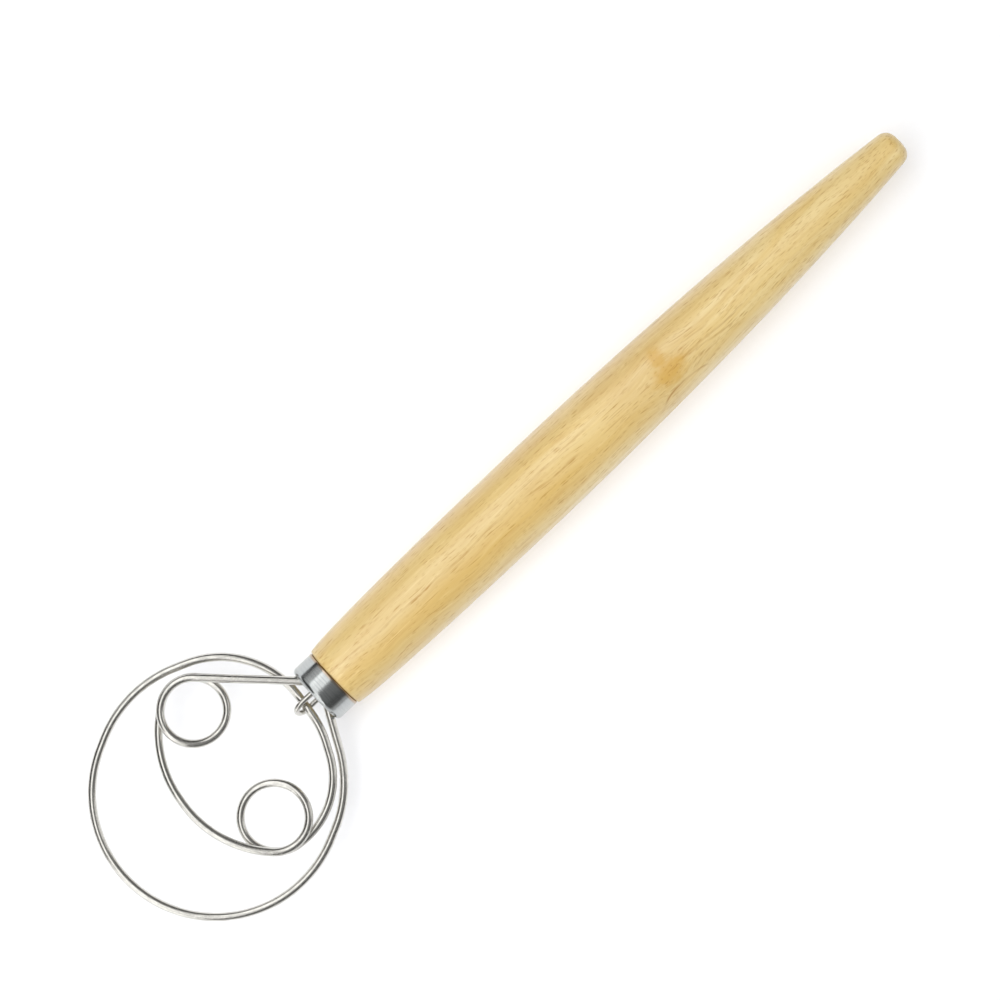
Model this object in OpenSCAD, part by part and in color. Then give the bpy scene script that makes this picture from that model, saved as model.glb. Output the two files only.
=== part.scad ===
// Danish-style dough whisk: turned wood handle, steel ferrule, one bent-wire head and a centre hook.
// Built along X: the wire head points to -X, the butt of the handle to +X, and the ring lies flat.

/* [Handle] */
// Length of wood from the shoulder behind the ferrule to the butt
handle_len = 248.3; // [200:0.1:300]
// Radius of the wood at its shoulder
shoulder_r = 11.2; // [10.9:0.1:12]
// Radius of the wood at the belly, its thickest place
belly_r = 13.4; // [12.5:0.05:16]
// Distance from the shoulder to the belly
belly_at = 89; // [70:1:110]
// Fullness of the wood between shoulder and belly: radius that its curve is pulled towards
front_pull_r = 12.7; // [12:0.1:13.4]
// Fullness of the wood between belly and butt: radius that its curve is pulled towards
rear_pull_r = 11.6; // [9:0.1:12.5]
// Radius of the wood where the rounded butt starts
butt_r = 6.15; // [5:0.05:9]
// Length of the rounded butt
butt_dome = 4.4; // [3:0.1:8]
// Radius of the small flat that the lathe leaves on the butt
butt_flat_r = 2.5; // [1:0.1:4]

/* [Ferrule] */
// Length of the steel cup
ferrule_len = 8.6; // [7:0.1:15]
// Outer radius of the cup
ferrule_r = 10.7; // [10.5:0.1:10.8]
// Thickness of the steel
ferrule_wall = 0.7; // [0.5:0.05:1]
// Radius of the rounded front edge
ferrule_edge_r = 1.7; // [1:0.1:2.5]
// Radius of the rounded rear edge, next to the wood
ferrule_rear_r = 0.6; // [0.2:0.05:0.65]
// Half length of the slot that the wires come out of
slot_half_len = 9.2; // [9.1:0.05:9.4]
// Half height of that slot
slot_half_h = 4.2; // [4.1:0.1:5]

/* [Wire] */
// Radius of the long whisk wire
wire_r = 1.4; // [1.2:0.05:1.4]
// Distance from the handle's axis to each leg of the wire inside the handle
leg_y = 3.6; // [3.6:0.1:4]
// Depth of the legs behind the ferrule's face
leg_depth = 42; // [30:1:45]
// Radius of the bend where a leg flares out of the ferrule
flare_r = 4; // [3.5:0.1:4.2]
// Height of the wire where another pass lies over it
z_under = -1.5; // [-1.6:0.1:-1.4]
// Height of the wire where it lies over another pass
z_over = 1.5; // [1.4:0.1:1.6]
// Height of the second pass round the lower eye
z_crest = 3; // [2.9:0.1:3.2]

/* [Hook] */
// Radius of the hook's wire
hook_wire_r = 0.95; // [0.8:0.05:1]
// How far the hook reaches out of the ferrule's face
hook_reach = 8.6; // [8:0.1:9]
// Sideways distance from the axis to each leg of the hook
hook_y = 1.35; // [1.2:0.05:1.4]
// Height from the axis to each leg of the hook
hook_z = 2.6; // [2.5:0.05:2.8]
// Depth of the hook's legs behind the face
hook_depth = 28; // [20:1:35]

/* [Resin] */
// Radius of the bore in the wood that holds the wires
bore_r = 5.6; // [5.4:0.1:7]
// Depth of that bore behind the ferrule's face
bore_depth = 50; // [47:1:70]
// How far the resin stands back from the ferrule's face
resin_set_back = 0.4; // [0.2:0.05:0.6]

/* [Hidden] */
$fn = 96;
SMALL = 0.05;
WIRE_SIDES = 12;
BEND_STEP = 8;      // greatest angle between two sections of a bend
RUN_STEP = 2.6;     // greatest distance between two sections of the wire
PROFILE_STEPS = 24;
SLOPE_STEP = 1.2;   // greatest distance between two sections where a straight run climbs
LEAST_STEP = 0.3;   // two points nearer than this are one point
COIL_TURN = 300;    // a bend of more than this angle is a coil
COIL_RISE = [0.3, 0.75];  // part of a coil in which the wire climbs from one pass to the next
BEND_RISE = [0, 1];

tenon_gap = 0.5;    // between the inside of the ferrule's face and the end of the wood
shoulder_gap = 0.15;  // between the ferrule's rear edge and the wood's shoulder
mouth_wall = 0.7;   // wood left round the mouth of the bore
mouth_len = 6;
round_over = 0.5;   // rounding of the wood's shoulder

// Along X the ferrule's face is at 0.
tenon_end = ferrule_wall + tenon_gap;
shoulder_x = ferrule_len + shoulder_gap;
butt_x = shoulder_x + handle_len;
tenon_r = ferrule_r - ferrule_wall - SMALL;
mouth_r = tenon_r - mouth_wall;

// Distances from the shoulder of the points that the handle's curves are pulled towards:
// two in front of the belly and two behind it
FRONT_PULL = [8, 50];
REAR_PULL = [130, 192];

// The pins that the wire is bent round, in the order in which it meets them:
// x, y, radius (minus turns clockwise), whole extra turns, height coming on, height going off
PINS = [
    [3.7, -leg_y - flare_r, flare_r, 0, z_under, z_under],   // lower leg flares out
    [-41, 0.6, -39.4, 0, z_under, z_under],                  // ring, where it starts
    [-44.4, -0.7, -39.6, 0, z_under, z_under],               // ring, far side
    [-41.4, 0.5, -39.8, 0, z_under, z_under],                // ring, upper side
    [-34.5, 7.4, -30.8, 0, z_under, z_under],                // ring, back to the ferrule
    [-36.4, 1.1, -32, 0, 0, 0],                              // through the hook
    [-32.7, -5.1, -25.9, 0, 0, 0],                           // inside the ring
    [-34.6, -18.5, -12.4, 0, 0, 0],                          // on to the lower eye
    [-35.9, -19.2, -11, 1, 0, z_crest],                      // lower eye
    [-17.3, -1, -37, 0, z_crest, z_crest],                   // inner curve, lower half
    [-17.2, 1.1, -36.8, 0, z_crest, z_under],                // inner curve, upper half
    [-31.3, 23.3, -10.6, 1, z_under, z_over],                // upper eye
    [4.7, leg_y + flare_r, flare_r, 0, z_over, z_over],      // upper leg flares in
];
LEG_IN = [leg_depth, -leg_y, 0, 0, z_under, z_under];
LEG_OUT = [leg_depth, leg_y, 0, 0, z_over, z_over];
ROUTE = concat([LEG_IN], PINS, [LEG_OUT]);
LAST = len(ROUTE) - 1;

function smooth(t) = t <= 0 ? 0 : t >= 1 ? 1 : t * t * (3 - 2 * t);
function mix(a, b, t) = a + (b - a) * t;
function side(v) = v < 0 ? -1 : 1;
function unit(v) = v / norm(v);

// Direction of the straight run from pin p to pin q
function run_dir(p, q) =
    let (d = [q.x - p.x, q.y - p.y])
    atan2(d.y, d.x) - asin(max(-1, min(1, (q[2] - p[2]) / norm(d))));
// Where the wire touches pin p while it heads in direction a
function touch(p, a) = [p.x + p[2] * sin(a), p.y - p[2] * cos(a)];
// Angle through which the wire turns on pin i
function turn_on(i) =
    let (s = side(ROUTE[i][2]))
    let (change = run_dir(ROUTE[i], ROUTE[i + 1]) - run_dir(ROUTE[i - 1], ROUTE[i]))
    s * (((s * change) % 360 + 360) % 360 + 360 * ROUTE[i][3]);

function bend_points(i) =
    let (p = ROUTE[i])
    let (a0 = run_dir(ROUTE[i - 1], p), turn = turn_on(i))
    let (steps = max(2, ceil(max(abs(turn) / BEND_STEP, abs(turn * p[2]) * PI / 180 / RUN_STEP))))
    let (window = abs(turn) > COIL_TURN ? COIL_RISE : BEND_RISE)
    [for (j = [0:steps])
        let (f = j / steps)
        let (rise = smooth((f - window[0]) / (window[1] - window[0])))
        concat(touch(p, a0 + turn * f), mix(p[4], p[5], rise))];

function run_points(i) =
    let (p = ROUTE[i], q = ROUTE[i + 1], a = run_dir(p, q))
    let (from = touch(p, a), to = touch(q, a))
    let (steps = p[5] == q[4] ? 1 : max(1, floor(norm(to - from) / SLOPE_STEP)))
    [for (j = [1:1:steps - 1])
        concat(mix(from, to, j / steps), mix(p[5], q[4], smooth(j / steps)))];

function wire_path() = concat(
    [concat(touch(LEG_IN, 180), z_under)],
    [for (i = [1:LAST - 1]) each concat(bend_points(i), run_points(i))],
    [concat(touch(LEG_OUT, 0), z_over)]);

// Drops a point that lies almost on the one before it
function thinned(path) =
    [for (i = [0:len(path) - 1]) if (i == 0 || norm(path[i] - path[i - 1]) > LEAST_STEP) path[i]];

// A round section of the wire across its path at point i
function section(path, i) =
    let (before = path[max(i - 1, 0)], after = path[min(i + 1, len(path) - 1)])
    let (along = unit(after - before))
    let (across = unit(cross([0, 0, 1], along)), up = cross(along, across))
    [for (k = [0:WIRE_SIDES - 1])
        let (a = 360 * k / WIRE_SIDES)
        path[i] + wire_r * (cos(a) * across + sin(a) * up)];

module swept_wire(path) {
    n = len(path);
    points = [for (i = [0:n - 1]) each section(path, i)];
    walls = [for (i = [0:n - 2], k = [0:WIRE_SIDES - 1])
        let (k2 = (k + 1) % WIRE_SIDES)
        let (a = i * WIRE_SIDES + k, b = i * WIRE_SIDES + k2)
        each [[a, a + WIRE_SIDES, b], [b, a + WIRE_SIDES, b + WIRE_SIDES]]];
    first = [for (k = [0:WIRE_SIDES - 1]) k];
    last = [for (k = [WIRE_SIDES - 1:-1:0]) (n - 1) * WIRE_SIDES + k];
    polyhedron(points, concat(walls, [first], [last]));
}

function bezier(a, b, c, d, t) =
    pow(1 - t, 3) * a + 3 * t * pow(1 - t, 2) * b + 3 * t * t * (1 - t) * c + pow(t, 3) * d;

// Moves the tool so that its bounding box stands on the XY plane, centred on the origin
head_x = -44.4 - 39.6 - wire_r;
module placed() {
    translate([-(head_x + butt_x) / 2, 0, belly_r]) children();
}

module lathe(profile) {
    rotate([0, 90, 0]) rotate_extrude() polygon(profile);
}

module rod(x0, x1, r) {
    translate([x0, 0, 0]) rotate([0, 90, 0]) cylinder(h = x1 - x0, r = r);
}

// Outline of the wood: radius against distance, as the lathe sees it
function handle_profile() =
    let (shoulder = [shoulder_r, shoulder_x + round_over])
    let (belly = [belly_r, shoulder_x + belly_at])
    let (dome = [butt_r, butt_x - butt_dome])
    let (front_pull = [[front_pull_r, shoulder_x + FRONT_PULL[0]],
                       [belly_r, shoulder_x + FRONT_PULL[1]]])
    let (rear_pull = [[belly_r, shoulder_x + REAR_PULL[0]], [rear_pull_r, shoulder_x + REAR_PULL[1]]])
    let (front = [for (j = [0:PROFILE_STEPS])
        bezier(shoulder, front_pull[0], front_pull[1], belly, j / PROFILE_STEPS)])
    let (rear = [for (j = [1:PROFILE_STEPS])
        bezier(belly, rear_pull[0], rear_pull[1], dome, j / PROFILE_STEPS)])
    let (round_end = [for (a = [15:15:75])
        [mix(butt_flat_r, butt_r, cos(a)), mix(dome.y, butt_x, sin(a))]])
    concat([[0, tenon_end], [tenon_r, tenon_end], [tenon_r, shoulder_x]],
        [[shoulder_r - round_over, shoulder_x]],
        front, rear, round_end, [[butt_flat_r, butt_x], [0, butt_x]]);

module wire_bore(extra) {
    rod(tenon_end + mouth_len - SMALL, bore_depth + extra, bore_r);
    translate([tenon_end, 0, 0]) rotate([0, 90, 0]) cylinder(h = mouth_len, r1 = mouth_r, r2 = bore_r);
}

module handle() {
    color("burlywood") placed() difference() {
        lathe(handle_profile());
        wire_bore(0);
        rod(0, tenon_end + SMALL, mouth_r);
    }
}

module slot_shape(half_len, half_h) {
    square([2 * (half_len - half_h), 2 * half_h], center = true);
    for (s = [-1, 1]) translate([s * (half_len - half_h), 0]) circle(half_h);
}

module face_slot(x0, x1, half_len, half_h) {
    translate([x0, 0, 0]) rotate([90, 0, 90]) linear_extrude(x1 - x0) slot_shape(half_len, half_h);
}

module ferrule() {
    inner_r = ferrule_r - ferrule_wall;
    edge_in_r = ferrule_edge_r - ferrule_wall;
    color("silver") placed() difference() {
        lathe(concat(
            [[0, 0]],
            [for (a = [0:15:90])
                [ferrule_r - ferrule_edge_r * (1 - sin(a)), ferrule_edge_r * (1 - cos(a))]],
            [for (a = [0:15:90])
                [ferrule_r - ferrule_rear_r * (1 - cos(a)), ferrule_len - ferrule_rear_r * (1 - sin(a))]],
            [[inner_r, ferrule_len]],
            [for (a = [90:-15:0])
                [inner_r - edge_in_r * (1 - sin(a)), ferrule_wall + edge_in_r * (1 - cos(a))]],
            [[0, ferrule_wall]]));
        face_slot(-SMALL, ferrule_wall + SMALL, slot_half_len, slot_half_h);
    }
}

module whisk_wire() {
    color("gainsboro") placed() swept_wire(thinned(wire_path()));
}

// The hook is a staple, turned about the handle's axis so that one leg is over the ring and one under it.
hook_half = norm([hook_y, hook_z]);
hook_tilt = atan2(hook_z, hook_y);
hook_bend_x = hook_wire_r + hook_half - hook_reach;

module centre_hook() {
    color("lightgray") placed() rotate([hook_tilt, 0, 0]) {
        for (s = [-1, 1])
            translate([0, s * hook_half, 0]) rod(hook_bend_x, hook_depth, hook_wire_r);
        translate([hook_bend_x, 0, 0]) rotate([0, 0, 90])
            rotate_extrude(angle = 180) translate([hook_half, 0]) circle(hook_wire_r);
    }
}

// The straight leg, bend and flare of one end of the whisk wire, as the hole it leaves in the resin.
// The pin is the one that the leg flares round, and the flare is the angle to the handle's axis.
module leg_hole(pin, flare, z) {
    s = side(pin.y);
    translate([pin.x, pin.y, z]) {
        translate([0, -s * flare_r, 0]) rod(0, leg_depth - pin.x, wire_r);
        rotate([0, 0, s > 0 ? 270 - flare : 90])
            rotate_extrude(angle = flare) translate([flare_r, 0]) circle(wire_r);
        rotate([0, 0, -s * flare]) translate([0, -s * flare_r, 0]) rod(-2 * flare_r, 0, wire_r);
    }
}

module resin_plug() {
    face_x = resin_set_back;
    pin_in = PINS[0];
    pin_out = PINS[len(PINS) - 1];
    color("wheat") placed() difference() {
        union() {
            wire_bore(-SMALL);
            face_slot(face_x, tenon_end, slot_half_len - SMALL, slot_half_h - SMALL);
        }
        leg_hole(pin_in, run_dir(PINS[0], PINS[1]) - 180, z_under);
        leg_hole(pin_out, -run_dir(PINS[len(PINS) - 2], pin_out), z_over);
        rotate([hook_tilt, 0, 0]) for (s = [-1, 1])
            translate([0, s * hook_half, 0]) rod(-hook_reach, hook_depth, hook_wire_r);
    }
}

handle();
ferrule();
whisk_wire();
centre_hook();
resin_plug();
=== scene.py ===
"""A dough whisk: a turned wooden handle, a steel ferrule filled with resin, one long wire bent into a ring
with two eyes, and a small hook that holds the ring."""

import math

import bmesh
import bpy
import numpy as np
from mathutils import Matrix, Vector


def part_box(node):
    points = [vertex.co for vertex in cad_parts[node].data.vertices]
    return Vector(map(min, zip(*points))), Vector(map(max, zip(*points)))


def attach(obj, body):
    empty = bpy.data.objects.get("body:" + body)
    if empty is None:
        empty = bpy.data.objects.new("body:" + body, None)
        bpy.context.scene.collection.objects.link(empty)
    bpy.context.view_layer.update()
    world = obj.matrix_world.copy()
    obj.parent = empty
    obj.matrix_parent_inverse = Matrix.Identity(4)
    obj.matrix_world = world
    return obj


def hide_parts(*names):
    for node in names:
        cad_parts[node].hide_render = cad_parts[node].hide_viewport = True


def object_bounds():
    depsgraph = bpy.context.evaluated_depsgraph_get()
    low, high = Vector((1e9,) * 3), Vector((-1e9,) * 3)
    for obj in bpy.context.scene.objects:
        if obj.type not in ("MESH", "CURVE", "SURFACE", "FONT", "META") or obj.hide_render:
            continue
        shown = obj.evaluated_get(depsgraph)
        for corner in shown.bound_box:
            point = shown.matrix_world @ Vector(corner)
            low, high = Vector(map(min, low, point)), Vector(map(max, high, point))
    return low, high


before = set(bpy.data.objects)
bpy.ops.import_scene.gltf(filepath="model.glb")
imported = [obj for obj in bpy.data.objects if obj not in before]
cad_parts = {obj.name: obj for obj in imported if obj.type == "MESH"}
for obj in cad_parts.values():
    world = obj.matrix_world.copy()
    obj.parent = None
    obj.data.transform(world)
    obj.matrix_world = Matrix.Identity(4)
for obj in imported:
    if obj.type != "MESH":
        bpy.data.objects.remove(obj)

MM = 0.001
cad_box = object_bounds()

# The whisk is laid out in millimetres from the middle of the ferrule's face, with the handle towards +X.
ferrule_low, ferrule_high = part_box("ferrule")
handle_low, handle_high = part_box("handle")
DATUM = Vector((ferrule_low.x, (ferrule_low.y + ferrule_high.y) / 2,
                (ferrule_low.z + ferrule_high.z) / 2))
FERRULE_LEN = (ferrule_high.x - ferrule_low.x) / MM
FERRULE_R = (ferrule_high.z - ferrule_low.z) / MM / 2
BELLY_R = (handle_high.z - handle_low.z) / MM / 2
BUTT_X = (handle_high.x - ferrule_low.x) / MM
TENON_X = (handle_low.x - ferrule_low.x) / MM


# ---------------------------------------------------------------- node helpers

def put(tree, kind, feed=None, **settings):
    """Add a node, give it its settings, and feed its sockets with values or with other nodes' outputs."""
    made = tree.nodes.new(kind)
    for name, value in settings.items():
        setattr(made, name, value)
    for name, value in (feed or {}).items():
        if isinstance(value, bpy.types.NodeSocket):
            tree.links.new(value, made.inputs[name])
        else:
            made.inputs[name].default_value = value
    return made


def calc(tree, operation, *values, clamp=False):
    return put(tree, "ShaderNodeMath", dict(enumerate(values)), operation=operation,
               use_clamp=clamp).outputs[0]


def plus(tree, a, b, clamp=False):
    return calc(tree, "ADD", a, b, clamp=clamp)


def minus(tree, a, b):
    return calc(tree, "SUBTRACT", a, b)


def times(tree, a, b, clamp=False):
    return calc(tree, "MULTIPLY", a, b, clamp=clamp)


def over(tree, a, b):
    return calc(tree, "DIVIDE", a, b)


def tint(tree, factor, a, b):
    """Mix two colours, each a socket or a plain colour."""
    return put(tree, "ShaderNodeMix", {0: factor, 6: a, 7: b}, data_type="RGBA",
               clamp_factor=True).outputs[2]


def fade(tree, value, start, end, low=0.0, high=1.0):
    """Map start..end to low..high with soft ends."""
    return put(tree, "ShaderNodeMapRange", {0: value, 1: start, 2: end, 3: low, 4: high},
               interpolation_type="SMOOTHSTEP", clamp=True).outputs[0]


def stretch(tree, vector, x, y, z):
    return put(tree, "ShaderNodeVectorMath", {0: vector, 1: (x, y, z)}, operation="MULTIPLY").outputs[0]


def grain(tree, vector, detail, roughness=0.5, scale=1.0):
    return put(tree, "ShaderNodeTexNoise", {"Vector": vector, "Scale": scale, "Detail": detail,
               "Roughness": roughness}).outputs["Fac"]


def cells(tree, vector, scale=1.0):
    return put(tree, "ShaderNodeTexVoronoi", {"Vector": vector, "Scale": scale}, feature="F1").outputs


def chance_of(tree, cell):
    """A number from 0 to 1 that is the same all over one cell."""
    return put(tree, "ShaderNodeSeparateColor", {0: cell["Color"]}).outputs[0]


def rgb(red, green, blue):
    """A colour given by its 0-255 display values."""
    return tuple(((c / 255 + 0.055) / 1.055) ** 2.4 if c > 10 else c / 255 / 12.92
                 for c in (red, green, blue)) + (1.0,)


def add_socket(group, name, kind, value=None, out=False):
    made = group.interface.new_socket(name=name, in_out="OUTPUT" if out else "INPUT", socket_type=kind)
    if value is not None:
        made.default_value = value


# ---------------------------------------------------------------- shared finish effects

SCRATCH_TURNS = (0.4, -0.9, 1.9)    # radians: the scratches run three ways


def scratches_group():
    """A few short fine scratches, as handling and washing leave them: a mask and a matching height."""
    group = bpy.data.node_groups.new("Handling scratches", "ShaderNodeTree")
    add_socket(group, "Place", "NodeSocketVector")
    add_socket(group, "Length", "NodeSocketFloat", 4.0)
    add_socket(group, "Amount", "NodeSocketFloat", 0.5)
    add_socket(group, "Mask", "NodeSocketFloat", out=True)
    add_socket(group, "Height", "NodeSocketFloat", out=True)
    given = group.nodes.new("NodeGroupInput")
    result = group.nodes.new("NodeGroupOutput")
    lines = []
    for turn in SCRATCH_TURNS:
        turned = put(group, "ShaderNodeVectorRotate", {"Vector": given.outputs["Place"], "Angle": turn},
                     rotation_type="Z_AXIS").outputs[0]
        x, y, z = put(group, "ShaderNodeSeparateXYZ", {0: turned}).outputs
        shorter = over(group, x, given.outputs["Length"])
        place = put(group, "ShaderNodeCombineXYZ", {0: shorter, 1: y, 2: z}).outputs[0]
        cell = cells(group, place, 0.7)
        line = fade(group, cell["Distance"], 0.02, 0.06, 1.0, 0.0)
        lines.append(times(group, line, fade(group, chance_of(group, cell), 0.6, 0.75)))
    both = calc(group, "MAXIMUM", calc(group, "MAXIMUM", lines[0], lines[1]), lines[2])
    mask = times(group, both, given.outputs["Amount"], clamp=True)
    group.links.new(mask, result.inputs["Mask"])
    group.links.new(times(group, mask, -1.0), result.inputs["Height"])
    return group


def smudge_group():
    """Soft clouds of slightly duller and glossier surface, from fingers and drying."""
    group = bpy.data.node_groups.new("Soft smudges", "ShaderNodeTree")
    add_socket(group, "Place", "NodeSocketVector")
    add_socket(group, "Size", "NodeSocketFloat", 10.0)
    add_socket(group, "Low", "NodeSocketFloat", 0.2)
    add_socket(group, "High", "NodeSocketFloat", 0.3)
    add_socket(group, "Value", "NodeSocketFloat", out=True)
    given = group.nodes.new("NodeGroupInput")
    result = group.nodes.new("NodeGroupOutput")
    small = put(group, "ShaderNodeVectorMath", {0: given.outputs["Place"],
                "Scale": over(group, 1.0, given.outputs["Size"])}, operation="SCALE").outputs[0]
    clouds = fade(group, grain(group, small, 3.0, 0.55), 0.3, 0.7)
    span = minus(group, given.outputs["High"], given.outputs["Low"])
    value = plus(group, given.outputs["Low"], times(group, clouds, span))
    group.links.new(value, result.inputs["Value"])
    return group


SCRATCHES = scratches_group()
SMUDGES = smudge_group()


def finish(name):
    """A new material, with its tree, its Principled shader, and the place on the whisk in millimetres from
    the middle of the ferrule's face."""
    material = bpy.data.materials.new(name)
    material.use_nodes = True
    tree = material.node_tree
    shader = tree.nodes["Principled BSDF"]
    to_face = tuple(-c / MM for c in DATUM)
    place = put(tree, "ShaderNodeMapping", {"Scale": (1 / MM,) * 3, "Location": to_face})
    tree.links.new(tree.nodes.new("ShaderNodeTexCoord").outputs["Object"], place.inputs["Vector"])
    return material, tree, shader, place.outputs[0]


def smudges(tree, place, size, low, high):
    """Roughness between low and high, in soft clouds of about that size in millimetres."""
    return put(tree, "ShaderNodeGroup", {"Place": place, "Size": size, "Low": low, "High": high},
               node_tree=SMUDGES).outputs["Value"]


def scratches(tree, place, length, amount):
    """The mask and the height of the handling scratches."""
    return put(tree, "ShaderNodeGroup", {"Place": place, "Length": length, "Amount": amount},
               node_tree=SCRATCHES).outputs


def join(tree, source, shader, name):
    tree.links.new(source, shader.inputs[name])


def relief(tree, shader, height, depth_mm, strength):
    """Give the shader a bump of that depth for a height of 0 to 1."""
    bump = put(tree, "ShaderNodeBump", {"Height": height, "Distance": depth_mm * MM, "Strength": strength})
    join(tree, bump.outputs[0], shader, "Normal")


# ---------------------------------------------------------------- finishes

PALE_WOOD = rgb(227, 205, 148)
HONEY_WOOD = rgb(217, 187, 117)
GRAIN_LINE = rgb(170, 120, 34)
PORE_BROWN = rgb(168, 118, 32)
PATCH_AMBER = rgb(201, 154, 52)
KNOT_BROWN = rgb(160, 106, 44)

# The figured patch: its middle, the reach along, across and down within which the grain parts round it,
# how strongly it parts, and the patch's two ovals (middle along and across, half length, half width).
PATCH_X, PATCH_Y, PATCH_Z = 152.0, -1.0, BELLY_R - 2
PARTING_REACH = (11.0, 8.0, 9.0)
PARTING = 0.72
PATCH_OVALS = ((PATCH_X + 1.3, PATCH_Y - 1.6, 6.8, 4.2), (PATCH_X + 0.7, PATCH_Y + 3.8, 3.0, 4.2))

# The middle of the tree lay this far to the -Y side of the handle's axis and below it.
PITH_Y, PITH_Z = 46.0, 21.0

# Broad warm streaks, and one band of painted shade along the +Y edge: follows the grain or not, middle along
# and across, half length, half width, strength and colour.
WARM_STREAKS_AND_EDGE_SHADE = (
    (False, 10.0, 0.0, 115.0, 24.0, 0.65, rgb(206, 178, 115)),
    (True, 75.0, -5.5, 95.0, 4.5, 0.45, rgb(208, 168, 82)),
    (True, 90.0, 10.5, 45.0, 2.6, 0.3, rgb(204, 166, 96)),
    # Painted shade: this band darkens the handle's +Y edge along its rear part.
    (True, 150.0, 12.0, 120.0, 6.0, 0.35, rgb(200, 170, 112)),
    (False, 149.0, 2.0, 24.0, 15.0, 0.4, rgb(204, 172, 112)),
)

# Single long veins: middle along and across, how far each runs both ways, slope, sag and depth.
VEINS = (
    (19.0, 1.4, 14.0, -0.075, 0.0, 0.5),
    (62.0, 0.4, 40.0, -0.008, 0.0, 0.5),
    (104.0, -1.5, 15.0, -0.07, 0.0, 0.4),
    (171.0, -2.8, 17.0, -0.03, 0.0, 0.5),
    (168.0, -3.9, 11.0, -0.12, 0.0, 0.45),
    (163.0, 0.9, 10.0, -0.09, 0.0, 0.3),
    (104.0, 2.6, 22.0, 0.0, 0.0, 0.35),
    (154.0, -7.7, 11.0, 0.0, -0.02, 0.75),
)

# Three kinds of open pore: cells per millimetre along and across, size in its cell, rarity and depth.
PORES = (
    (0.18, 1.5, 0.4, 0.62, 0.5),
    (0.4, 2.4, 0.42, 0.45, 0.3),
    (0.06, 1.9, 0.36, 0.5, 0.48),
)


def length_of(tree, a, b):
    return calc(tree, "SQRT", plus(tree, times(tree, a, a), times(tree, b, b)))


def oval(tree, along, sideways, x, y, long, wide):
    """Distance from an oval's middle: 1 at its outline."""
    dx = over(tree, minus(tree, along, x), long)
    dy = over(tree, minus(tree, sideways, y), wide)
    return length_of(tree, dx, dy)


def spread(tree, vector, x, y, z):
    """Noise about zero, at x, y and z waves per millimetre."""
    return minus(tree, grain(tree, stretch(tree, vector, x, y, z), 1.0), 0.5)


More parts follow.
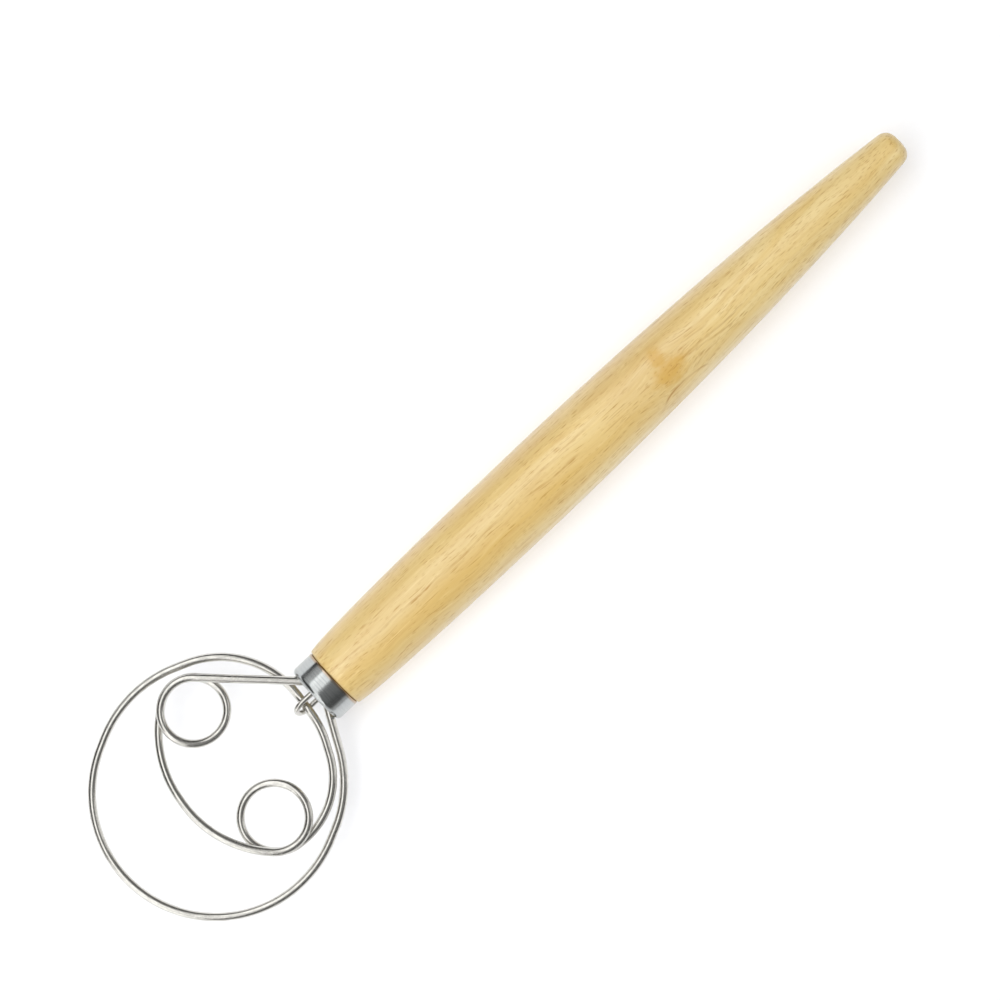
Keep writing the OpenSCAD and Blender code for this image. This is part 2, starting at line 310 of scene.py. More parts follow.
def handle_wood():
    """Pale hardwood with short open pores and one figured patch, under a thin satin lacquer."""
    material, tree, shader, place = finish("handle_wood")
    along, sideways, up = put(tree, "ShaderNodeSeparateXYZ", {0: place}).outputs

    # The grain parts round the figured patch, where a branch once ran close to the surface.
    from_y = minus(tree, sideways, PATCH_Y)
    gaps = (minus(tree, along, PATCH_X), from_y, minus(tree, up, PATCH_Z))
    squares = []
    for gap, reach in zip(gaps, PARTING_REACH):
        part = over(tree, gap, reach)
        squares.append(times(tree, part, part))
    far = plus(tree, plus(tree, squares[0], squares[1]), squares[2])
    near = calc(tree, "EXPONENT", times(tree, far, -1.0))
    parted = minus(tree, sideways, times(tree, times(tree, from_y, near), PARTING))
    # It runs slightly out of line with the handle, and wanders.
    wander = spread(tree, place, 0.013, 0.05, 0.05)
    ripple = spread(tree, place, 0.07, 0.16, 0.16)
    drift = plus(tree, times(tree, wander, 7.0), times(tree, ripple, 1.6))
    lean = fade(tree, along, -20.0, 130.0, -2.6, 0.0)
    flow_y = plus(tree, plus(tree, parted, drift), lean)
    flow_z = plus(tree, up, times(tree, drift, 0.6))
    flow = put(tree, "ShaderNodeCombineXYZ", {0: along, 1: flow_y, 2: flow_z}).outputs[0]

    # Growth rings, seen as soft lengthwise bands, then finer streaks and fibres.
    ring = length_of(tree, plus(tree, flow_y, PITH_Y), plus(tree, flow_z, PITH_Z))
    rings = put(tree, "ShaderNodeCombineXYZ", {0: ring, 1: times(tree, along, 0.012), 2: 0.0}).outputs[0]
    bands = grain(tree, rings, 2.0, 0.55, scale=0.3)
    streaks = grain(tree, stretch(tree, flow, 0.045, 0.95, 0.95), 3.0, 0.6)
    fibres = grain(tree, stretch(tree, flow, 0.11, 3.2, 3.2), 3.0, 0.65)
    clouds = grain(tree, stretch(tree, place, 0.035, 0.14, 0.14), 2.0)

    colour = tint(tree, fade(tree, bands, 0.34, 0.68), PALE_WOOD, HONEY_WOOD)
    colour = tint(tree, fade(tree, clouds, 0.35, 0.7, 0.0, 0.45), colour, rgb(217, 187, 118))
    # The warm streaks of the wood's own tone, and the band of painted shade along the +Y edge.
    for with_grain, x, y, long, wide, strength, tone_and_shade in WARM_STREAKS_AND_EDGE_SHADE:
        spot = oval(tree, along, flow_y if with_grain else sideways, x, y, long, wide)
        colour = tint(tree, fade(tree, spot, 0.3, 1.2, strength, 0.0), colour, tone_and_shade)
    colour = tint(tree, fade(tree, streaks, 0.5, 0.74, 0.0, 0.36), colour, rgb(194, 152, 82))
    colour = tint(tree, fade(tree, streaks, 0.46, 0.26, 0.0, 0.3), colour, rgb(238, 216, 158))
    colour = tint(tree, fade(tree, fibres, 0.5, 0.75, 0.0, 0.3), colour, rgb(190, 150, 84))

    # Single long veins on the upper side, each faint in places.
    broken = fade(tree, grain(tree, stretch(tree, place, 0.12, 0.5, 0.5), 2.0), 0.38, 0.62, 0.3, 1.0)
    on_top = fade(tree, up, 2.0, 6.0)
    wavy = plus(tree, sideways, times(tree, ripple, 2.2))
    for x, y, run, slope, sag, depth in VEINS:
        from_middle = minus(tree, along, x)
        bend = plus(tree, times(tree, from_middle, sag), slope)
        off = minus(tree, wavy, plus(tree, times(tree, from_middle, bend), y))
        thin = fade(tree, calc(tree, "ABSOLUTE", off), 0.08, 0.5, 1.0, 0.0)
        reach = fade(tree, calc(tree, "ABSOLUTE", from_middle), run * 0.6, run, 1.0, 0.0)
        vein = times(tree, times(tree, thin, reach), times(tree, broken, on_top))
        colour = tint(tree, times(tree, vein, depth), colour, GRAIN_LINE)

    # The patch: two ragged ovals that run together, amber with small knots.
    shapes = [oval(tree, along, sideways, *size) for size in PATCH_OVALS]
    rag = minus(tree, grain(tree, stretch(tree, place, 0.3, 0.4, 0.4), 3.0, 0.6), 0.5)
    ragged = plus(tree, calc(tree, "MINIMUM", *shapes), times(tree, rag, 1.1))
    patch = times(tree, fade(tree, ragged, 0.35, 1.3, 1.0, 0.0), fade(tree, up, 3.0, 7.0))
    colour = tint(tree, times(tree, patch, 0.66), colour, PATCH_AMBER)
    knots = cells(tree, stretch(tree, place, 0.55, 0.8, 0.8))["Distance"]
    colour = tint(tree, times(tree, patch, fade(tree, knots, 0.06, 0.26, 0.35, 0.0)), colour, KNOT_BROWN)

    # Open pores: dark dashes along the grain, gathered in some streaks, and more of them towards the butt.
    crowd = grain(tree, stretch(tree, flow, 0.03, 0.3, 0.3), 2.0)
    crowd = plus(tree, crowd, fade(tree, along, 170.0, 250.0, 0.0, 0.16))
    pores = None
    for long, wide, size, rarity, depth in PORES:
        cell = cells(tree, stretch(tree, flow, long, wide, wide))
        picked = fade(tree, plus(tree, chance_of(tree, cell), crowd), 0.55 + rarity, 0.7 + rarity)
        mark = times(tree, fade(tree, cell["Distance"], 0.12, size, 1.0, 0.0), picked)
        colour = tint(tree, times(tree, mark, depth), colour, PORE_BROWN)
        pores = mark if pores is None else calc(tree, "MAXIMUM", pores, mark)
    join(tree, colour, shader, "Base Color")

    rough = plus(tree, smudges(tree, place, 14.0, 0.36, 0.46), times(tree, pores, 0.2), clamp=True)
    join(tree, rough, shader, "Roughness")
    shader.inputs["Coat Weight"].default_value = 0.8
    shader.inputs["Coat Roughness"].default_value = 0.26
    relief(tree, shader, minus(tree, times(tree, fibres, 0.3), pores), 0.03, 0.4)
    return material


def ferrule_steel():
    """Spun stainless steel, polished, with faint lines round the axis."""
    material, tree, shader, place = finish("ferrule_steel")
    lines = grain(tree, stretch(tree, place, 14.0, 0.12, 0.12), 3.0, 0.65)
    broad = grain(tree, stretch(tree, place, 2.2, 0.1, 0.1), 2.0)
    marks = scratches(tree, place, 5.0, 0.6)
    shader.inputs["Metallic"].default_value = 1.0
    colour = tint(tree, fade(tree, broad, 0.35, 0.7), rgb(186, 189, 188), rgb(175, 178, 178))
    colour = tint(tree, times(tree, marks["Mask"], 0.5), colour, rgb(214, 214, 214))
    # The rear edge is tinted faintly brown: a painted reflection of the wood's shoulder and painted shade of
    # the gap before it.
    along = put(tree, "ShaderNodeSeparateXYZ", {0: place}).outputs[0]
    rear_painted_reflection = fade(tree, along, FERRULE_LEN - 1.4, FERRULE_LEN - 0.5, 0.0, 0.75)
    colour = tint(tree, rear_painted_reflection, colour, rgb(172, 142, 104))
    join(tree, colour, shader, "Base Color")
    rough = plus(tree, smudges(tree, place, 5.0, 0.13, 0.2), times(tree, fade(tree, lines, 0.4, 0.8), 0.08))
    join(tree, plus(tree, rough, times(tree, marks["Mask"], 0.1), clamp=True), shader, "Roughness")
    relief(tree, shader, plus(tree, lines, times(tree, marks["Height"], 0.6)), 0.006, 0.18)
    return material


def wire_steel():
    """Bright drawn stainless wire: faint die lines along it, a little dulled by use."""
    material, tree, shader, place = finish("wire_steel")
    turns = put(tree, "ShaderNodeAttribute", attribute_name="wire_place").outputs["Vector"]
    die_lines = grain(tree, stretch(tree, turns, 0.06, 9.0, 9.0), 3.0, 0.6)
    cloud = grain(tree, stretch(tree, turns, 0.35, 1.2, 1.2), 3.0, 0.6)
    marks = scratches(tree, place, 2.5, 0.5)
    shader.inputs["Metallic"].default_value = 1.0
    colour = tint(tree, fade(tree, cloud, 0.35, 0.7), rgb(218, 216, 210), rgb(204, 202, 196))
    colour = tint(tree, fade(tree, die_lines, 0.5, 0.8, 0.0, 0.4), colour, rgb(186, 184, 178))
    join(tree, colour, shader, "Base Color")
    rough = plus(tree, fade(tree, cloud, 0.3, 0.7, 0.18, 0.26), times(tree, marks["Mask"], 0.12))
    rough = plus(tree, rough, fade(tree, die_lines, 0.4, 0.8, 0.0, 0.06), clamp=True)
    join(tree, rough, shader, "Roughness")
    relief(tree, shader, plus(tree, die_lines, times(tree, marks["Height"], 0.5)), 0.008, 0.4)
    return material


def set_resin():
    """Hard clear-amber resin, smooth where it set, with a few small clouds in it."""
    material, tree, shader, place = finish("resin")
    clouds = grain(tree, stretch(tree, place, 0.8, 0.5, 0.5), 3.0, 0.6)
    specks = cells(tree, place, 1.6)["Distance"]
    colour = tint(tree, fade(tree, clouds, 0.35, 0.7), rgb(190, 178, 150), rgb(158, 142, 110))
    colour = tint(tree, fade(tree, specks, 0.04, 0.16, 0.6, 0.0), colour, rgb(226, 220, 200))
    join(tree, colour, shader, "Base Color")
    join(tree, fade(tree, clouds, 0.3, 0.7, 0.16, 0.34), shader, "Roughness")
    shader.inputs["Coat Weight"].default_value = 0.4
    shader.inputs["Coat Roughness"].default_value = 0.1
    relief(tree, shader, plus(tree, clouds, fade(tree, specks, 0.04, 0.2, 0.5, 0.0)), 0.05, 0.5)
    return material


def floor_paint():
    """Matt white board."""
    material, tree, shader, place = finish("floor_white")
    speckle = grain(tree, stretch(tree, place, 0.5, 0.5, 0.5), 4.0, 0.6)
    white = tint(tree, fade(tree, speckle, 0.3, 0.7), (0.94, 0.945, 0.965, 1), (0.95, 0.955, 0.975, 1))
    join(tree, white, shader, "Base Color")
    join(tree, fade(tree, speckle, 0.3, 0.7, 0.8, 0.9), shader, "Roughness")
    shader.inputs["Specular IOR Level"].default_value = 0.1
    relief(tree, shader, speckle, 0.02, 0.2)
    return material


# ---------------------------------------------------------------- the wire's path

WIRE_R = 1.4
LEG_Y = 3.6
LEG_DEPTH = 42
FLARE_R = 4
UNDER, OVER, CREST = -1.5, 1.5, 3    # heights of the wire's middle above the handle's axis
COIL_RISE = (0.3, 0.75)     # part of an eye's turn in which the wire climbs from one pass to the next
ARC_STEP, RUN_STEP = 1.5, 0.5    # degrees round a pin, millimetres on a straight run
CLOSEST = 0.05                   # points nearer than this to the last one are left out

# The pins that the wire is bent round, in the order in which it meets them:
# x, y, radius (minus turns clockwise), whole extra turns, height coming on, height going off
PINS = [
    (LEG_DEPTH, -LEG_Y, 0, 0, UNDER, UNDER),
    (3.7, -LEG_Y - FLARE_R, FLARE_R, 0, UNDER, UNDER),       # lower leg flares out
    (-41, 0.6, -39.4, 0, UNDER, UNDER),                      # ring
    (-44.4, -0.7, -39.6, 0, UNDER, UNDER),
    (-41.4, 0.5, -39.8, 0, UNDER, UNDER),
    (-34.5, 7.4, -30.8, 0, UNDER, UNDER),
    (-36.4, 1.1, -32, 0, 0, 0),                              # through the hook
    (-32.7, -5.1, -25.9, 0, 0, 0),
    (-34.6, -18.5, -12.4, 0, 0, 0),
    (-35.9, -19.2, -11, 1, 0, CREST),                        # lower eye
    (-17.3, -1, -37, 0, CREST, CREST),                       # inner curve
    (-17.2, 1.1, -36.8, 0, CREST, UNDER),
    (-31.3, 23.3, -10.6, 1, UNDER, OVER),                    # upper eye
    (4.7, LEG_Y + FLARE_R, FLARE_R, 0, OVER, OVER),          # upper leg flares in
    (LEG_DEPTH, LEG_Y, 0, 0, OVER, OVER),
]


def ease(t):
    t = min(max(t, 0.0), 1.0)
    return t * t * (3 - 2 * t)


def run_direction(p, q):
    """Direction, in degrees, of the straight run from pin p to pin q."""
    dx, dy = q[0] - p[0], q[1] - p[1]
    slant = math.asin(max(-1, min(1, (q[2] - p[2]) / math.hypot(dx, dy))))
    return math.degrees(math.atan2(dy, dx) - slant)


def touch(p, direction):
    """Where the wire touches pin p while it heads in that direction."""
    a = math.radians(direction)
    return np.array((p[0] + p[2] * math.sin(a), p[1] - p[2] * math.cos(a)))


def whisk_path():
    """Points along the middle of the long wire, in millimetres from the ferrule's face."""
    points = [(*touch(PINS[0], 180), PINS[0][4])]
    for before, pin, after in zip(PINS, PINS[1:], PINS[2:]):
        start = run_direction(before, pin)
        way = -1 if pin[2] < 0 else 1
        turn = way * ((way * (run_direction(pin, after) - start)) % 360 + 360 * pin[3])
        rise = COIL_RISE if pin[3] else (0, 1)
        steps = max(2, math.ceil(abs(turn) / ARC_STEP))
        for j in range(steps + 1):
            part = j / steps
            climb = ease((part - rise[0]) / (rise[1] - rise[0]))
            points.append((*touch(pin, start + turn * part), pin[4] + (pin[5] - pin[4]) * climb))
        heading = run_direction(pin, after)
        from_, to = touch(pin, heading), touch(after, heading)
        steps = max(1, int(np.linalg.norm(to - from_) / RUN_STEP))
        for j in range(1, steps):
            height = pin[5] + (after[4] - pin[5]) * ease(j / steps)
            points.append((*(from_ + (to - from_) * j / steps), height))
    points.append((*touch(PINS[-1], 0), PINS[-1][4]))
    kept = points[:1]
    for point in points[1:]:
        if math.dist(point, kept[-1]) > CLOSEST:
            kept.append(point)
    return kept


HOOK_WIRE_R = 0.95
HOOK_REACH = 8.6              # how far the hook stands out in front of the ferrule
HOOK_Y, HOOK_Z = 1.35, 2.6    # half the distance between its legs, sideways and in height
HOOK_DEPTH = 28


def hook_path():
    """The small hook: a staple turned about the handle's axis, one leg over the ring and one under it."""
    half = math.hypot(HOOK_Y, HOOK_Z)
    bend_x = HOOK_WIRE_R + half - HOOK_REACH
    steps = 60
    outline = [(HOOK_DEPTH - j * (HOOK_DEPTH - bend_x) / steps, half) for j in range(steps)]
    outline += [(bend_x - half * math.sin(math.radians(a)), half * math.cos(math.radians(a)))
                for a in range(0, 181, 3)]
    outline += [(bend_x + j * (HOOK_DEPTH - bend_x) / steps, -half) for j in range(1, steps + 1)]
    return [(x, w * HOOK_Y / half, w * HOOK_Z / half) for x, w in outline]


# ---------------------------------------------------------------- bent wire, by Geometry Nodes

WAVERS_PER_METRE = 45.0


def bent_wire_tree():
    """Round wire along a line of points: evenly stepped, with the faint waver that hand bending leaves. The
    attribute wire_place holds the place along it in millimetres and the direction round it."""
    tree = bpy.data.node_groups.new("Bent wire", "GeometryNodeTree")
    tree.is_modifier = True
    for name, kind, value in (("Line", "NodeSocketGeometry", None), ("Radius", "NodeSocketFloat", 0.0014),
                              ("Sides", "NodeSocketInt", 28), ("Spacing", "NodeSocketFloat", 0.0005),
                              ("Waver", "NodeSocketFloat", 0.00003), ("Seed", "NodeSocketFloat", 0.0),
                              ("Finish", "NodeSocketMaterial", None)):
        add_socket(tree, name, kind, value)
    add_socket(tree, "Wire", "NodeSocketGeometry", out=True)
    given = tree.nodes.new("NodeGroupInput")
    result = tree.nodes.new("NodeGroupOutput")

    curve = put(tree, "GeometryNodeMeshToCurve", {"Mesh": given.outputs["Line"]})
    even = put(tree, "GeometryNodeResampleCurve", {"Curve": curve.outputs[0],
               "Length": given.outputs["Spacing"]}, mode="LENGTH")
    travelled = put(tree, "GeometryNodeSplineParameter").outputs["Length"]
    phase = put(tree, "ShaderNodeCombineXYZ", {0: times(tree, travelled, WAVERS_PER_METRE),
                1: given.outputs["Seed"], 2: 0.0})
    shake = put(tree, "ShaderNodeTexNoise", {"Vector": phase.outputs[0], "Scale": 1.0, "Detail": 1.0})
    centred = put(tree, "ShaderNodeVectorMath", {0: shake.outputs["Color"], 1: (0.5, 0.5, 0.5)},
                  operation="SUBTRACT").outputs[0]
    offset = put(tree, "ShaderNodeVectorMath", {0: centred, "Scale": given.outputs["Waver"]},
                 operation="SCALE")
    wavered = put(tree, "GeometryNodeSetPosition", {"Geometry": even.outputs[0],
                  "Offset": offset.outputs[0]})
    travelled_mm = times(tree, put(tree, "GeometryNodeSplineParameter").outputs["Length"], 1 / MM)
    measured = put(tree, "GeometryNodeStoreNamedAttribute", {"Geometry": wavered.outputs[0],
                   "Name": "wire_along", "Value": travelled_mm}, data_type="FLOAT", domain="POINT")

    outline = put(tree, "GeometryNodeCurvePrimitiveCircle", {"Resolution": given.outputs["Sides"],
                  "Radius": given.outputs["Radius"]})
    angle = times(tree, put(tree, "GeometryNodeSplineParameter").outputs["Factor"], math.tau)
    around = put(tree, "ShaderNodeCombineXYZ", {0: 0.0, 1: calc(tree, "COSINE", angle),
                 2: calc(tree, "SINE", angle)})
    marked = put(tree, "GeometryNodeStoreNamedAttribute", {"Geometry": outline.outputs[0],
                 "Name": "wire_around", "Value": around.outputs[0]}, data_type="FLOAT_VECTOR", domain="POINT")
    swept = put(tree, "GeometryNodeCurveToMesh", {"Curve": measured.outputs[0],
                "Profile Curve": marked.outputs[0], "Fill Caps": True})
    along = put(tree, "GeometryNodeInputNamedAttribute", {"Name": "wire_along"},
                data_type="FLOAT").outputs[0]
    ringwise = put(tree, "GeometryNodeInputNamedAttribute", {"Name": "wire_around"},
                   data_type="FLOAT_VECTOR").outputs[0]
    lengthwise = put(tree, "ShaderNodeCombineXYZ", {0: along}).outputs[0]
    both = put(tree, "ShaderNodeVectorMath", {0: lengthwise, 1: ringwise}, operation="ADD").outputs[0]
    placed = put(tree, "GeometryNodeStoreNamedAttribute", {"Geometry": swept.outputs[0],
                 "Name": "wire_place", "Value": both}, data_type="FLOAT_VECTOR", domain="POINT")
    smooth = put(tree, "GeometryNodeSetShadeSmooth", {"Geometry": placed.outputs[0], "Shade Smooth": True})
    real = put(tree, "GeometryNodeRealizeInstances", {"Geometry": smooth.outputs[0]})
    dressed = put(tree, "GeometryNodeSetMaterial", {"Geometry": real.outputs[0],
                  "Material": given.outputs["Finish"]})
    tree.links.new(dressed.outputs[0], result.inputs[0])
    return tree


def in_place(points):
    """Millimetres from the ferrule's face to metres on the frame."""
    return [DATUM + Vector(p) * MM for p in points]


def link(name, data):
    thing = bpy.data.objects.new(name, data)
    bpy.context.scene.collection.objects.link(thing)
    return thing


def bend_wire(name, points, tree, material, **sizes):
    line = bpy.data.meshes.new(name + "_line")
    line.from_pydata(in_place(points), [(i, i + 1) for i in range(len(points) - 1)], [])
    guide = link(name + "_guide", line)
    modifier = guide.modifiers.new("Bent wire", "NODES")
    modifier.node_group = tree
    names = {item.name: item.identifier for item in tree.interface.items_tree if item.in_out == "INPUT"}
    for size, value in sizes.items():
        modifier[names[size]] = value
    modifier[names["Finish"]] = material
    evaluated = guide.evaluated_get(bpy.context.evaluated_depsgraph_get())
    mesh = bpy.data.meshes.new_from_object(evaluated)
    bpy.data.objects.remove(guide)
    mesh.name = name
    piece = link(name, mesh)
    soften(mesh)
    return piece


def soften(mesh):
    """Smooth shading, with edges of more than 40 degrees kept crisp."""
    mesh.shade_smooth()
    mesh.set_sharp_from_angle(angle=math.radians(40))


# ---------------------------------------------------------------- turned pieces

SEGMENTS = 128

BORE_R, BORE_DEPTH = 5.6, 50
MOUTH_LEN = 6                   # the bore widens to its mouth over this length
TENON_R = FERRULE_R - 0.75
MOUTH_R = TENON_R - 0.7


def turned(name, rings, material, closed=False):
    """Skin a list of rings, each a function of the angle that gives (x, radius). A closed list joins last
    to first; an open one is closed by a point at each end."""
    mesh = bpy.data.meshes.new(name)
    bm = bmesh.new()
    angles = [math.tau * k / SEGMENTS for k in range(SEGMENTS)]
    loops = []
    for ring in rings:
        loop = []
        for a in angles:
            x, r = ring(a)
            loop.append(bm.verts.new(DATUM + Vector((x, r * math.cos(a), r * math.sin(a))) * MM))
        loops.append(loop)
    pairs = list(zip(loops, loops[1:])) + ([(loops[-1], loops[0])] if closed else [])
    for near, far in pairs:
        for k in range(SEGMENTS):
            k2 = (k + 1) % SEGMENTS
            bm.faces.new((near[k], near[k2], far[k2], far[k]))
    if not closed:
        for ring, loop in ((rings[0], loops[0]), (rings[-1], loops[-1])):
            tip = bm.verts.new(DATUM + Vector((ring(0)[0], 0, 0)) * MM)
            for k in range(SEGMENTS):
                bm.faces.new((loop[k], loop[(k + 1) % SEGMENTS], tip))
    bmesh.ops.recalc_face_normals(bm, faces=bm.faces)
    bm.to_mesh(mesh)
    bm.free()
    mesh.materials.append(material)
    soften(mesh)
    return link(name, mesh)


def circle(x, r):
    return lambda angle: (x, r)


def bezier(a, b, c, d, t):
    return tuple((1 - t) ** 3 * p + 3 * t * (1 - t) ** 2 * q + 3 * t * t * (1 - t) * r + t ** 3 * s
                 for p, q, r, s in zip(a, b, c, d))


SHOULDER_X = FERRULE_LEN + 0.15
SHOULDER_R, ROUND_OVER = 11.2, 0.5
FRONT_PULL_R, REAR_PULL_R = 12.7, 11.6
BUTT_R, BUTT_DOME, BUTT_FLAT_R = 6.15, 4.4, 2.5


def quarter(start, stop, step):
    """Sine and cosine of angles in degrees, for rounding an edge."""
    return [(math.sin(math.radians(a)), math.cos(math.radians(a))) for a in range(start, stop, step)]


def handle_rings():
    """The turned outline from the bottom of the bore, over the tenon and shoulder, and back to the butt."""
    outline = [(BORE_DEPTH, 0.4), (BORE_DEPTH, 3), (BORE_DEPTH, BORE_R - 0.3), (BORE_DEPTH - 0.3, BORE_R)]
    outline += [(x, BORE_R) for x in np.linspace(BORE_DEPTH - 1.5, TENON_X + MOUTH_LEN, 24)]
    outline += [(TENON_X + MOUTH_LEN * (1 - t), BORE_R + (MOUTH_R - BORE_R) * t)
                for t in (0.04, 0.3, 0.6, 0.9, 1)]
    outline += [(TENON_X, MOUTH_R + 0.05), (TENON_X, TENON_R - 0.25), (TENON_X + 0.08, TENON_R - 0.08),
                (TENON_X + 0.25, TENON_R)]
    outline += [(x, TENON_R) for x in np.linspace(TENON_X + 1, SHOULDER_X - 0.05, 8)]
    outline += [(SHOULDER_X, TENON_R + 0.05), (SHOULDER_X, (TENON_R + SHOULDER_R - ROUND_OVER) / 2)]
    outline += [(SHOULDER_X + ROUND_OVER * (1 - cosine), SHOULDER_R - ROUND_OVER * (1 - sine))
                for sine, cosine in quarter(0, 91, 15)]
    # Two long curves meet at the belly. Each is drawn by its ends and by the two points that pull it.
    belly = (SHOULDER_X + 89, BELLY_R)
    front = ((SHOULDER_X + ROUND_OVER, SHOULDER_R), (SHOULDER_X + 8, FRONT_PULL_R),
             (SHOULDER_X + 50, BELLY_R), belly)
    rear = (belly, (SHOULDER_X + 130, BELLY_R),
            (SHOULDER_X + 192, REAR_PULL_R), (BUTT_X - BUTT_DOME, BUTT_R))
    for curve, steps in ((front, 90), (rear, 160)):
        outline += [bezier(*curve, j / steps) for j in range(1, steps + 1)]
    outline += [(BUTT_X - BUTT_DOME + BUTT_DOME * sine, BUTT_FLAT_R + (BUTT_R - BUTT_FLAT_R) * cosine)
                for sine, cosine in quarter(6, 91, 6)]
    outline += [(BUTT_X, BUTT_FLAT_R * t) for t in (0.9, 0.5, 0.15)]
    return [circle(x, r) for x, r in outline]


SLOT_HALF_LEN, SLOT_HALF_H = 9.2, 4.2
SLOT_RIM_R = 0.14
FERRULE_WALL = 0.7
FERRULE_EDGE_R = 1.7
FERRULE_REAR_R = 0.6
FACE_OUT_R = 9.6                # the slot's shape has faded to a circle by this radius
EDGE_START_R = FERRULE_R - FERRULE_EDGE_R


def slot_r(angle, inset=0.0):
    """Distance from the axis to the slot's outline, in the direction of that angle."""
    half_len, half_h = SLOT_HALF_LEN - inset, SLOT_HALF_H - inset
    c, s = abs(math.cos(angle)), abs(math.sin(angle))
    straight = half_len - half_h
    if s > 1e-6 and half_h / s * c <= straight:
        return half_h / s
    return straight * c + math.sqrt(half_h ** 2 - (straight * s) ** 2)


def face_x(r):
    """How far the ferrule's face lies behind its front at that radius: flat, then rounded at the edge."""
    past = max(0.0, min(r - EDGE_START_R, FERRULE_EDGE_R))
    return FERRULE_EDGE_R - math.sqrt(FERRULE_EDGE_R ** 2 - past ** 2)


def ferrule_rings():
    """The cup: slot rim, rounded face, outer wall, rear edge, and the same again inside."""
    inner_r = FERRULE_R - FERRULE_WALL

    def rim_ring(t):
        a = math.radians(90 * t)

        def ring(angle):
            r = slot_r(angle) + SLOT_RIM_R * (1 - math.cos(a))
            return face_x(r) + SLOT_RIM_R * (1 - math.sin(a)), r
        return ring

    def face_ring(t):
        def ring(angle):
            r = (slot_r(angle) + SLOT_RIM_R) * (1 - t) + FACE_OUT_R * t
            return face_x(r), r
        return ring

    def inside_ring(t):
        def ring(angle):
            r = slot_r(angle) * (1 - t) + (inner_r - 0.4) * t
            return FERRULE_WALL + 0.3 * max(0.0, r - (inner_r - 1)) ** 2, r
        return ring

    rings = [lambda angle: (FERRULE_WALL, slot_r(angle)), rim_ring(0)]
    rings += [rim_ring(t / 4) for t in range(1, 5)]
    rings += [face_ring(t / 8) for t in range(1, 9)]
    rings += [circle(face_x(r), r) for r in np.linspace(FACE_OUT_R, FERRULE_R - 0.12, 9)[1:]]
    rings += [circle(FERRULE_EDGE_R * (1 - cosine), EDGE_START_R + FERRULE_EDGE_R * sine)
              for sine, cosine in quarter(72, 91, 9)]
    rear = FERRULE_REAR_R
    rings += [circle(x, FERRULE_R) for x in np.linspace(FERRULE_EDGE_R + 0.5, FERRULE_LEN - rear, 12)]
    rings += [circle(FERRULE_LEN - rear + rear * sine, FERRULE_R - rear + rear * cosine)
              for sine, cosine in quarter(10, 91, 10)]
    rings += [circle(FERRULE_LEN, inner_r)]
    rings += [circle(x, inner_r) for x in np.linspace(FERRULE_LEN - 0.5, FERRULE_EDGE_R, 6)]
    rings += [circle(FERRULE_WALL + 0.35, inner_r - 0.1)]
    rings += [inside_ring(t / 4) for t in (4, 3, 2, 1)]
    return rings


RESIN_X = 0.4
RESIN_GAP = 0.05
WIRE_ENDS = ((-LEG_Y, UNDER, WIRE_R), (LEG_Y, OVER, WIRE_R),
             (HOOK_Y, HOOK_Z, HOOK_WIRE_R), (-HOOK_Y, -HOOK_Z, HOOK_WIRE_R))


def resin_level(y, z, inset):
    """The set surface of the resin: flat, drawn up a little against the slot's edge and the wires."""
    climb = 0.22 * math.exp(-max(0.0, inset) / 0.5)
    for wire_y, wire_z, radius in WIRE_ENDS:
        away = max(0.0, math.hypot(y - wire_y, z - wire_z) - radius)
        climb = max(climb, 0.25 * math.exp(-away / 0.45))
    return RESIN_X + 0.1 - climb * 0.4


def resin_rings():
    """The resin from its drawn-up front, down the mouth of the wood to the end of the bore."""
    bore_r, mouth_r = BORE_R - RESIN_GAP, MOUTH_R - RESIN_GAP
    bottom_x = BORE_DEPTH - RESIN_GAP

    def front_ring(t):
        def ring(angle):
            edge = slot_r(angle, RESIN_GAP)
            r = edge * t
            return resin_level(r * math.cos(angle), r * math.sin(angle), edge * (1 - t)), r
        return ring

    rings = [front_ring(t) for t in (0.02, 0.08, 0.16, 0.24, 0.32, 0.4, 0.48, 0.56, 0.64, 0.72, 0.8, 0.88,
                                     0.94, 0.98, 1)]
    rings += [lambda angle: (TENON_X + 0.02, slot_r(angle, RESIN_GAP)), circle(TENON_X + 0.05, mouth_r)]
    rings += [circle(TENON_X + MOUTH_LEN * t, mouth_r + (bore_r - mouth_r) * t) for t in (0.25, 0.5, 0.75, 1)]
    rings += [circle(x, bore_r) for x in np.linspace(TENON_X + MOUTH_LEN + 2, bottom_x, 12)]
    rings += [circle(bottom_x, bore_r * 0.6), circle(bottom_x, bore_r * 0.1)]
    return rings


# ---------------------------------------------------------------- put the whisk together

wood, cup_steel, drawn_steel, resin = handle_wood(), ferrule_steel(), wire_steel(), set_resin()
wire_tree = bent_wire_tree()
pieces = {
    "handle": (turned("turned_handle", handle_rings(), wood), "handle_wood"),
    "ferrule": (turned("spun_ferrule", ferrule_rings(), cup_steel, closed=True), "ferrule_steel"),
    "resin_plug": (turned("resin_fill", resin_rings(), resin), "resin"),
    "whisk_wire": (bend_wire("bent_whisk_wire", whisk_path(), wire_tree, drawn_steel, Radius=WIRE_R * MM,
                             Sides=28, Spacing=0.45 * MM, Waver=0.08 * MM, Seed=3.0), "wire_steel"),
    "centre_hook": (bend_wire("bent_centre_hook", hook_path(), wire_tree, drawn_steel,
                              Radius=HOOK_WIRE_R * MM, Sides=24, Spacing=0.35 * MM, Waver=0.03 * MM,
                              Seed=8.0), "wire_steel"),
}
for node, (piece, slot) in pieces.items():
    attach(piece, "root")
    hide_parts(node)


# ---------------------------------------------------------------- floor, light and camera

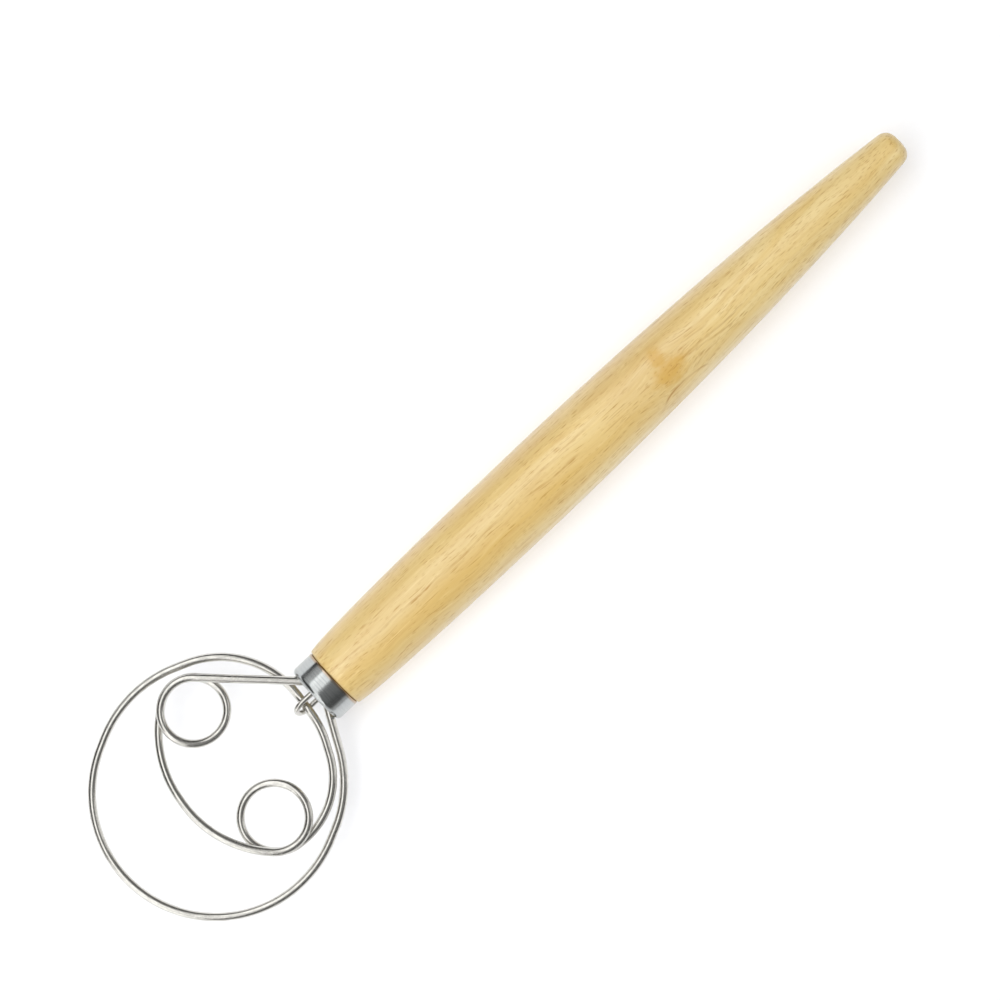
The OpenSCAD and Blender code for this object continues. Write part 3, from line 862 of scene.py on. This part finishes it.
def flat_sheet(name, size, z, material):
    mesh = bpy.data.meshes.new(name)
    half = size / 2
    corners = [(-half, -half, z), (half, -half, z), (half, half, z), (-half, half, z)]
    mesh.from_pydata(corners, [], [(0, 1, 2, 3)])
    mesh.materials.append(material)
    return link(name, mesh)


FLOOR_SIZE, FLOOR_GAP = 8.0, 0.0002
floor = flat_sheet("floor_board", FLOOR_SIZE, cad_box[0].z - FLOOR_GAP, floor_paint())

TURN = math.radians(-43.515)    # the camera's turn about the vertical
CAMERA_HEIGHT = 1.6             # above the handle's axis
CAMERA_AT = Vector((0.000075, 0.0047, DATUM.z + CAMERA_HEIGHT))
VIEW_WIDTH = 0.3192             # what the camera sees at the height of the handle's axis
SENSOR_WIDTH = 36


def camera_side(right, up, height):
    """A point given by how far it lies to the right and to the top of the camera's view, and its height."""
    return Vector((right * math.cos(TURN) - up * math.sin(TURN),
                   right * math.sin(TURN) + up * math.cos(TURN), height))


def panel(name, place, size, power, glossy=True, shadow=True, level=False):
    """A rectangular light at a place that camera_side gives. It points at the whisk unless it is kept
    level."""
    lamp = bpy.data.lights.new(name, "AREA")
    lamp.shape = "RECTANGLE"
    lamp.size, lamp.size_y = size
    lamp.energy = power
    lamp.use_shadow = shadow
    holder = link(name, lamp)
    holder.location = camera_side(*place)
    if level:
        holder.rotation_euler = (0, 0, TURN)
    else:
        holder.rotation_euler = (-holder.location).to_track_quat("-Z", "Y").to_euler()
    holder.visible_glossy = glossy


panel("softbox", (-0.25, 0.0, 0.5), (0.32, 0.9), 1.18, level=True)
panel("side_card", (0.9, 0.12, 0.5), (0.5, 0.8), 0.9)
panel("low_softbox", (-0.55, -0.85, 0.45), (0.75, 0.8), 2.6)
panel("fill_over", (-0.9, 0.3, 2.2), (2.2, 2.2), 5.0, glossy=False)
panel("fill_clear", (-0.5, 0.1, 2.0), (2.6, 2.6), 38.0, glossy=False, shadow=False, level=True)
panel("fill_right", (1.6, 0.0, 1.2), (1.5, 2.0), 3.0, glossy=False)

GLOW_TILT = math.radians(54)    # of the soft glow, from straight up towards +Y


def studio_world():
    """A dim room that is lighter near the floor, dimmer still towards +Y except for one soft glow there."""
    world = bpy.data.worlds.new("studio")
    world.use_nodes = True
    sky = world.node_tree
    direction = sky.nodes.new("ShaderNodeTexCoord").outputs["Generated"]
    height = put(sky, "ShaderNodeSeparateXYZ", {0: direction})
    ramp = put(sky, "ShaderNodeValToRGB", {0: height.outputs[2]})
    stops = ramp.color_ramp
    stops.elements[0].position, stops.elements[0].color = 0.0, (0.62, 0.62, 0.63, 1)
    stops.elements[1].position, stops.elements[1].color = 1.0, (0.25, 0.25, 0.252, 1)
    for position, value in ((0.17, 0.55), (0.3, 0.12), (0.55, 0.12), (0.78, 0.2)):
        stops.elements.new(position).color = (value, value, value * 1.02, 1)
    glow_way = (0.0, math.sin(GLOW_TILT), math.cos(GLOW_TILT))
    glow_at = put(sky, "ShaderNodeVectorMath", {0: direction, 1: glow_way},
                  operation="DOT_PRODUCT").outputs["Value"]
    glow = fade(sky, glow_at, 0.87, 1.0, 0.0, 0.62)
    dim = fade(sky, height.outputs[1], 0.2, 0.9, 1.0, 0.12)
    level = plus(sky, times(sky, ramp.outputs[0], dim), glow)
    sky.links.new(level, sky.nodes["Background"].inputs["Color"])
    return world


bpy.context.scene.world = studio_world()

lens = bpy.data.cameras.new("camera")
lens.sensor_width = SENSOR_WIDTH
lens.lens = SENSOR_WIDTH * CAMERA_HEIGHT / VIEW_WIDTH
lens.clip_start, lens.clip_end = 0.05, 50
lens.dof.use_dof = False
camera = link("camera", lens)
camera.location = CAMERA_AT
camera.rotation_euler = (0, 0, TURN)
bpy.context.scene.camera = camera
bpy.context.scene.view_settings.view_transform = "Standard"
